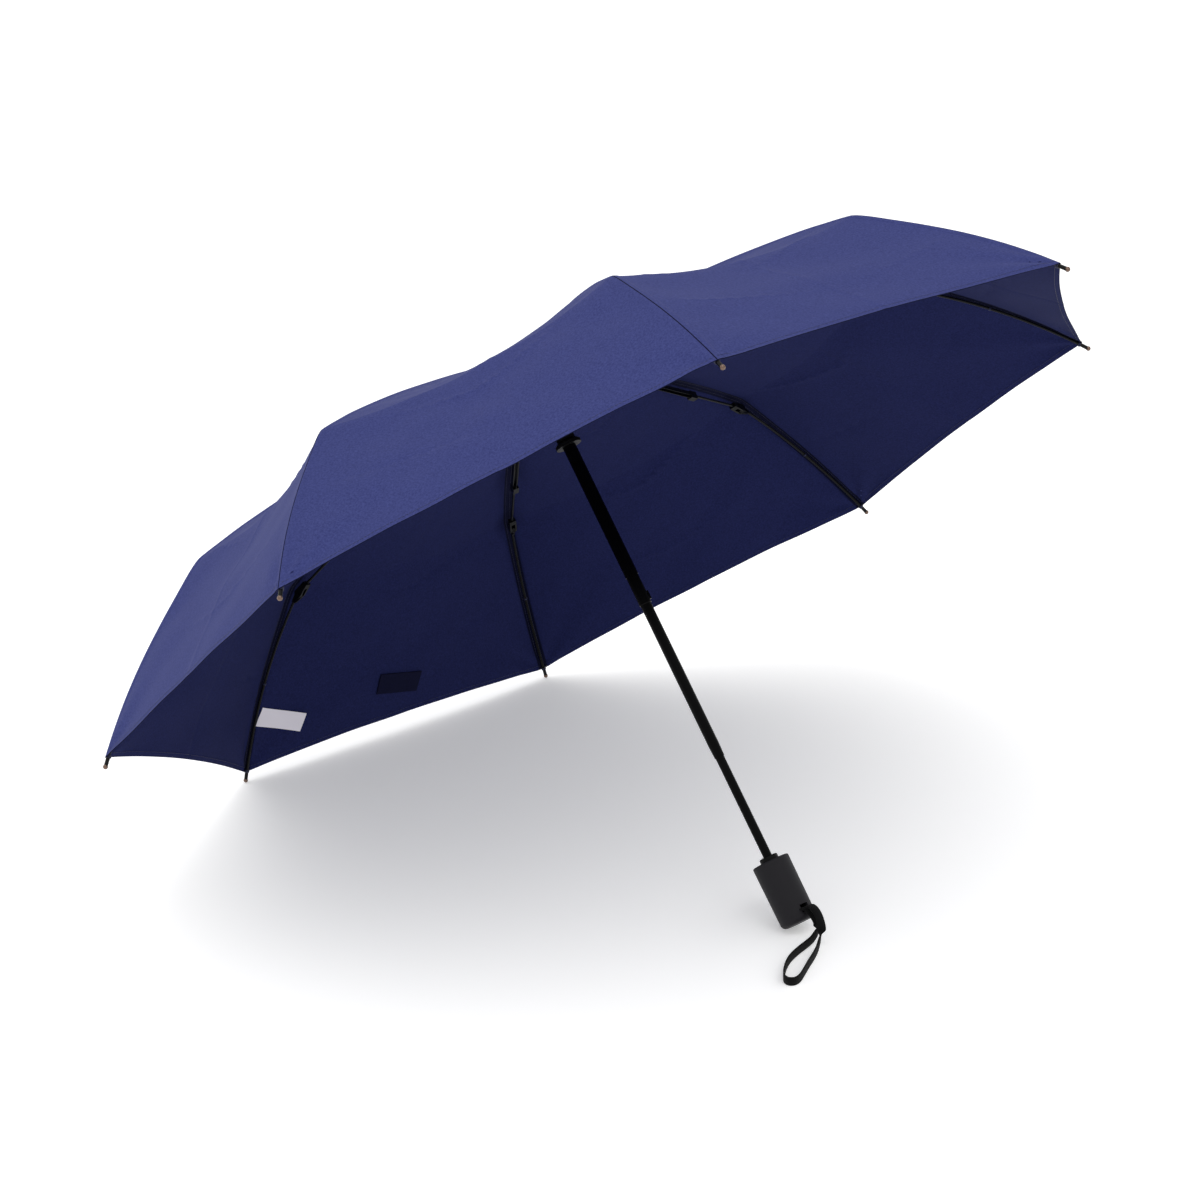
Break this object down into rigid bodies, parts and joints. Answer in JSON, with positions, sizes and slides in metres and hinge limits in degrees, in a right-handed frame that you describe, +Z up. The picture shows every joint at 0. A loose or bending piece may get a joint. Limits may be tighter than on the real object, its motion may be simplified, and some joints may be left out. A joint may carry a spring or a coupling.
{
  "type": "folding umbrella",
  "caption": "Eight-rib three-fold umbrella, open, lying on two rim tips and its handle; telescoping shaft, folding ribs, push button and wrist loop",
  "frame": {"origin": "on the floor, below the middle of the open canopy's bounding box, strap left out", "axes": "+Z up as the open umbrella lies on two rim tips and the foot of its handle, +X from those tips towards the handle, +Y across the canopy"},
  "size_m": [0.6996, 0.906, 0.5987],
  "materials": {
    "pongee_outer": "woven polyester pongee",
    "black_steel": "black lacquered steel",
    "black_plastic": "moulded",
    "soft_touch": "soft-touch coating",
    "bright_steel": "plain",
    "black_webbing": "woven tape",
    "label_cloth": "woven label"
  },
  "bodies": {
    "shaft": {"upper_tube": "black_steel", "tube_neck": "black_plastic", "crown": "black_plastic", "top_cap": "black_plastic", "drive_spring": "bright_steel", "closure_strap": "pongee_outer", "care_label": "label_cloth", "canopy_gore_1": "pongee_outer", "canopy_gore_2": "pongee_outer", "canopy_gore_3": "pongee_outer", "canopy_gore_4": "pongee_outer", "canopy_gore_5": "pongee_outer", "canopy_gore_6": "pongee_outer", "canopy_gore_7": "pongee_outer", "canopy_gore_8": "pongee_outer"},
    "runner": {"runner": "black_plastic"},
    "mid_tube": {"mid_tube": "black_steel"},
    "grip": {"lower_tube": "black_steel", "handle_core": "black_plastic", "handle_shell": "soft_touch", "handle_plug": "black_plastic", "collar_pin": "bright_steel", "strap_pin": "bright_steel", "button_spring": "bright_steel", "wrist_strap": "black_webbing"},
    "button": {"push_button": "black_plastic"},
    "inner_1": {"inner_rib_1": "black_steel"},
    "mid_1": {"mid_rib_1": "black_steel"},
    "outer_1": {"outer_rib_1": "black_steel"},
    "strut_1": {"stretcher_1": "black_steel"},
    "inner_2": {"inner_rib_2": "black_steel"},
    "mid_2": {"mid_rib_2": "black_steel"},
    "outer_2": {"outer_rib_2": "black_steel"},
    "strut_2": {"stretcher_2": "black_steel"},
    "inner_3": {"inner_rib_3": "black_steel"},
    "mid_3": {"mid_rib_3": "black_steel"},
    "outer_3": {"outer_rib_3": "black_steel"},
    "strut_3": {"stretcher_3": "black_steel"},
    "inner_4": {"inner_rib_4": "black_steel"},
    "mid_4": {"mid_rib_4": "black_steel"},
    "outer_4": {"outer_rib_4": "black_steel"},
    "strut_4": {"stretcher_4": "black_steel"},
    "inner_5": {"inner_rib_5": "black_steel"},
    "mid_5": {"mid_rib_5": "black_steel"},
    "outer_5": {"outer_rib_5": "black_steel"},
    "strut_5": {"stretcher_5": "black_steel"},
    "inner_6": {"inner_rib_6": "black_steel"},
    "mid_6": {"mid_rib_6": "black_steel"},
    "outer_6": {"outer_rib_6": "black_steel"},
    "strut_6": {"stretcher_6": "black_steel"},
    "inner_7": {"inner_rib_7": "black_steel"},
    "mid_7": {"mid_rib_7": "black_steel"},
    "outer_7": {"outer_rib_7": "black_steel"},
    "strut_7": {"stretcher_7": "black_steel"},
    "inner_8": {"inner_rib_8": "black_steel"},
    "mid_8": {"mid_rib_8": "black_steel"},
    "outer_8": {"outer_rib_8": "black_steel"},
    "strut_8": {"stretcher_8": "black_steel"}
  },
  "joints": [
    {"name": "runner_slide", "type": "slide", "parent": "shaft", "child": "runner", "axis": [0.6386, 0, -0.7696], "range_m": [0, 0.12564], "deforming": ["canopy_gore_1", "canopy_gore_2", "canopy_gore_3", "canopy_gore_4", "canopy_gore_5", "canopy_gore_6", "canopy_gore_7", "canopy_gore_8", "closure_strap", "care_label"]},
    {"name": "mid_tube_slide", "type": "slide", "parent": "shaft", "child": "mid_tube", "axis": [-0.6386, 0, 0.7696], "range_m": [0, 0.15], "deforming": ["drive_spring"]},
    {"name": "handle_slide", "type": "slide", "parent": "mid_tube", "child": "grip", "axis": [-0.6386, 0, 0.7696], "range_m": [0, 0.1225]},
    {"name": "button_press", "type": "slide", "parent": "grip", "child": "button", "axis": [0.5442, -0.7071, 0.4515], "range_m": [0, 0.0018], "stiffness_N_per_m": 900, "springref_m": -0.002, "deforming": ["button_spring"]},
    {"name": "rib_1_crown", "type": "hinge", "parent": "shaft", "child": "inner_1", "pos_m": [-0.11818, -0.01016, 0.42593], "axis": [0.711, -0.3827, 0.59], "range_deg": [0, 80.8]},
    {"name": "rib_1_elbow", "type": "hinge", "parent": "inner_1", "child": "mid_1", "pos_m": [-0.15705, -0.16214, 0.37419], "axis": [0.711, -0.3827, 0.59], "range_deg": [-184.14, 0]},
    {"name": "rib_1_knee", "type": "hinge", "parent": "mid_1", "child": "outer_1", "pos_m": [-0.17907, -0.31135, 0.30394], "axis": [0.711, -0.3827, 0.59], "range_deg": [0, 151.9]},
    {"name": "strut_1_hinge", "type": "hinge", "parent": "runner", "child": "strut_1", "pos_m": [-0.09208, -0.01223, 0.39821], "axis": [0.711, -0.3827, 0.59], "range_deg": [-67.42, 0]},
    {"name": "rib_2_crown", "type": "hinge", "parent": "shaft", "child": "inner_2", "pos_m": [-0.1117, -0.01016, 0.43131], "axis": [0.711, 0.3827, 0.59], "range_deg": [0, 80.8]},
    {"name": "rib_2_elbow", "type": "hinge", "parent": "inner_2", "child": "mid_2", "pos_m": [-0.05368, -0.16214, 0.45996], "axis": [0.711, 0.3827, 0.59], "range_deg": [-184.14, 0]},
    {"name": "rib_2_knee", "type": "hinge", "parent": "mid_2", "child": "outer_2", "pos_m": [0.01943, -0.31135, 0.46864], "axis": [0.711, 0.3827, 0.59], "range_deg": [0, 151.9]},
    {"name": "strut_2_hinge", "type": "hinge", "parent": "runner", "child": "strut_2", "pos_m": [-0.08501, -0.00994, 0.40408], "axis": [0.711, 0.3827, 0.59], "range_deg": [-67.42, 0]},
    {"name": "rib_3_crown", "type": "hinge", "parent": "shaft", "child": "inner_3", "pos_m": [-0.10712, -0.00421, 0.43511], "axis": [0.2945, 0.9239, 0.2444], "range_deg": [0, 80.8]},
    {"name": "rib_3_elbow", "type": "hinge", "parent": "inner_3", "child": "mid_3", "pos_m": [0.01942, -0.06716, 0.52061], "axis": [0.2945, 0.9239, 0.2444], "range_deg": [-184.14, 0]},
    {"name": "rib_3_knee", "type": "hinge", "parent": "mid_3", "child": "outer_3", "pos_m": [0.15979, -0.12896, 0.58511], "axis": [0.2945, 0.9239, 0.2444], "range_deg": [0, 151.9]},
    {"name": "strut_3_hinge", "type": "hinge", "parent": "runner", "child": "strut_3", "pos_m": [-0.08126, -0.00182, 0.40719], "axis": [0.2945, 0.9239, 0.2444], "range_deg": [-67.42, 0]},
    {"name": "rib_4_crown", "type": "hinge", "parent": "shaft", "child": "inner_4", "pos_m": [-0.10712, 0.00421, 0.43511], "axis": [-0.2945, 0.9239, -0.2444], "range_deg": [0, 80.8]},
    {"name": "rib_4_elbow", "type": "hinge", "parent": "inner_4", "child": "mid_4", "pos_m": [0.01942, 0.06716, 0.52061], "axis": [-0.2945, 0.9239, -0.2444], "range_deg": [-184.14, 0]},
    {"name": "rib_4_knee", "type": "hinge", "parent": "mid_4", "child": "outer_4", "pos_m": [0.15979, 0.12896, 0.58511], "axis": [-0.2945, 0.9239, -0.2444], "range_deg": [0, 151.9]},
    {"name": "strut_4_hinge", "type": "hinge", "parent": "runner", "child": "strut_4", "pos_m": [-0.08303, 0.00736, 0.40572], "axis": [-0.2945, 0.9239, -0.2444], "range_deg": [-67.42, 0]},
    {"name": "rib_5_crown", "type": "hinge", "parent": "shaft", "child": "inner_5", "pos_m": [-0.1117, 0.01016, 0.43131], "axis": [-0.711, 0.3827, -0.59], "range_deg": [0, 80.8]},
    {"name": "rib_5_elbow", "type": "hinge", "parent": "inner_5", "child": "mid_5", "pos_m": [-0.05368, 0.16214, 0.45996], "axis": [-0.711, 0.3827, -0.59], "range_deg": [-184.14, 0]},
    {"name": "rib_5_knee", "type": "hinge", "parent": "mid_5", "child": "outer_5", "pos_m": [0.01943, 0.31135, 0.46864], "axis": [-0.711, 0.3827, -0.59], "range_deg": [0, 151.9]},
    {"name": "strut_5_hinge", "type": "hinge", "parent": "runner", "child": "strut_5", "pos_m": [-0.08927, 0.01223, 0.40054], "axis": [-0.711, 0.3827, -0.59], "range_deg": [-67.42, 0]},
    {"name": "rib_6_crown", "type": "hinge", "parent": "shaft", "child": "inner_6", "pos_m": [-0.11818, 0.01016, 0.42593], "axis": [-0.711, -0.3827, -0.59], "range_deg": [0, 80.8]},
    {"name": "rib_6_elbow", "type": "hinge", "parent": "inner_6", "child": "mid_6", "pos_m": [-0.15705, 0.16214, 0.37419], "axis": [-0.711, -0.3827, -0.59], "range_deg": [-184.14, 0]},
    {"name": "rib_6_knee", "type": "hinge", "parent": "mid_6", "child": "outer_6", "pos_m": [-0.17907, 0.31135, 0.30394], "axis": [-0.711, -0.3827, -0.59], "range_deg": [0, 151.9]},
    {"name": "strut_6_hinge", "type": "hinge", "parent": "runner", "child": "strut_6", "pos_m": [-0.09634, 0.00994, 0.39467], "axis": [-0.711, -0.3827, -0.59], "range_deg": [-67.42, 0]},
    {"name": "rib_7_crown", "type": "hinge", "parent": "shaft", "child": "inner_7", "pos_m": [-0.12276, 0.00421, 0.42213], "axis": [-0.2945, -0.9239, -0.2444], "range_deg": [0, 80.8]},
    {"name": "rib_7_elbow", "type": "hinge", "parent": "inner_7", "child": "mid_7", "pos_m": [-0.23014, 0.06716, 0.31354], "axis": [-0.2945, -0.9239, -0.2444], "range_deg": [-184.14, 0]},
    {"name": "rib_7_knee", "type": "hinge", "parent": "mid_7", "child": "outer_7", "pos_m": [-0.31942, 0.12896, 0.18748], "axis": [-0.2945, -0.9239, -0.2444], "range_deg": [0, 151.9]},
    {"name": "strut_7_hinge", "type": "hinge", "parent": "runner", "child": "strut_7", "pos_m": [-0.10009, 0.00182, 0.39156], "axis": [-0.2945, -0.9239, -0.2444], "range_deg": [-67.42, 0]},
    {"name": "rib_8_crown", "type": "hinge", "parent": "shaft", "child": "inner_8", "pos_m": [-0.12276, -0.00421, 0.42213], "axis": [0.2945, -0.9239, 0.2444], "range_deg": [0, 80.8]},
    {"name": "rib_8_elbow", "type": "hinge", "parent": "inner_8", "child": "mid_8", "pos_m": [-0.23014, -0.06716, 0.31354], "axis": [0.2945, -0.9239, 0.2444], "range_deg": [-184.14, 0]},
    {"name": "rib_8_knee", "type": "hinge", "parent": "mid_8", "child": "outer_8", "pos_m": [-0.31942, -0.12896, 0.18748], "axis": [0.2945, -0.9239, 0.2444], "range_deg": [0, 151.9]},
    {"name": "strut_8_hinge", "type": "hinge", "parent": "runner", "child": "strut_8", "pos_m": [-0.09832, -0.00736, 0.39303], "axis": [0.2945, -0.9239, 0.2444], "range_deg": [-67.42, 0]}
  ],
  "couplings": [
    {"joint": "rib_1_crown", "follows": "runner_slide", "rad_per_m": 11.217},
    {"joint": "rib_1_elbow", "follows": "runner_slide", "rad_per_m": -25.574},
    {"joint": "rib_1_knee", "follows": "runner_slide", "rad_per_m": 21.094},
    {"joint": "strut_1_hinge", "follows": "runner_slide", "rad_per_m": -9.3581},
    {"joint": "rib_2_crown", "follows": "runner_slide", "rad_per_m": 11.217},
    {"joint": "rib_2_elbow", "follows": "runner_slide", "rad_per_m": -25.574},
    {"joint": "rib_2_knee", "follows": "runner_slide", "rad_per_m": 21.094},
    {"joint": "strut_2_hinge", "follows": "runner_slide", "rad_per_m": -9.3581},
    {"joint": "rib_3_crown", "follows": "runner_slide", "rad_per_m": 11.217},
    {"joint": "rib_3_elbow", "follows": "runner_slide", "rad_per_m": -25.574},
    {"joint": "rib_3_knee", "follows": "runner_slide", "rad_per_m": 21.094},
    {"joint": "strut_3_hinge", "follows": "runner_slide", "rad_per_m": -9.3581},
    {"joint": "rib_4_crown", "follows": "runner_slide", "rad_per_m": 11.217},
    {"joint": "rib_4_elbow", "follows": "runner_slide", "rad_per_m": -25.574},
    {"joint": "rib_4_knee", "follows": "runner_slide", "rad_per_m": 21.094},
    {"joint": "strut_4_hinge", "follows": "runner_slide", "rad_per_m": -9.3581},
    {"joint": "rib_5_crown", "follows": "runner_slide", "rad_per_m": 11.217},
    {"joint": "rib_5_elbow", "follows": "runner_slide", "rad_per_m": -25.574},
    {"joint": "rib_5_knee", "follows": "runner_slide", "rad_per_m": 21.094},
    {"joint": "strut_5_hinge", "follows": "runner_slide", "rad_per_m": -9.3581},
    {"joint": "rib_6_crown", "follows": "runner_slide", "rad_per_m": 11.217},
    {"joint": "rib_6_elbow", "follows": "runner_slide", "rad_per_m": -25.574},
    {"joint": "rib_6_knee", "follows": "runner_slide", "rad_per_m": 21.094},
    {"joint": "strut_6_hinge", "follows": "runner_slide", "rad_per_m": -9.3581},
    {"joint": "rib_7_crown", "follows": "runner_slide", "rad_per_m": 11.217},
    {"joint": "rib_7_elbow", "follows": "runner_slide", "rad_per_m": -25.574},
    {"joint": "rib_7_knee", "follows": "runner_slide", "rad_per_m": 21.094},
    {"joint": "strut_7_hinge", "follows": "runner_slide", "rad_per_m": -9.3581},
    {"joint": "rib_8_crown", "follows": "runner_slide", "rad_per_m": 11.217},
    {"joint": "rib_8_elbow", "follows": "runner_slide", "rad_per_m": -25.574},
    {"joint": "rib_8_knee", "follows": "runner_slide", "rad_per_m": 21.094},
    {"joint": "strut_8_hinge", "follows": "runner_slide", "rad_per_m": -9.3581}
  ]
}
